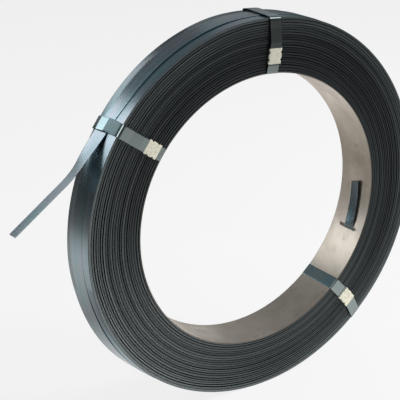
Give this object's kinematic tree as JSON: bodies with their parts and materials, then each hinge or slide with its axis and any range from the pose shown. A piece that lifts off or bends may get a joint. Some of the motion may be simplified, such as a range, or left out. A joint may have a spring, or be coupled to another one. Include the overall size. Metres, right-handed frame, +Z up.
{
  "type": "roll of steel strapping",
  "caption": "Coil of wide steel strap wound on a thin sheet-steel core hoop, held by narrow strap ties with crimped seals, with its loose outer end standing off the rim",
  "frame": {"origin": "centre of the core's bore, at the middle of the coil's width", "axes": "+Z up with the coil standing on its rim, Y along the coil's axis with the sealed front end towards -Y, X across"},
  "size_m": [0.6532, 0.0719, 0.5652],
  "materials": {
    "strap_coil": "blued and waxed, dark slate blue",
    "core_hoop": "bare mill finish, scuffed",
    "tie": "smooth blued steel",
    "seal": "zinc plated, dull"
  },
  "bodies": {
    "root": {"strap_coil": "strap_coil", "core_hoop": "core_hoop", "tie_left": "tie", "tie_top": "tie", "tie_right": "tie", "seal_left": "seal", "seal_top": "seal", "seal_right": "seal"}
  },
  "joints": []
}
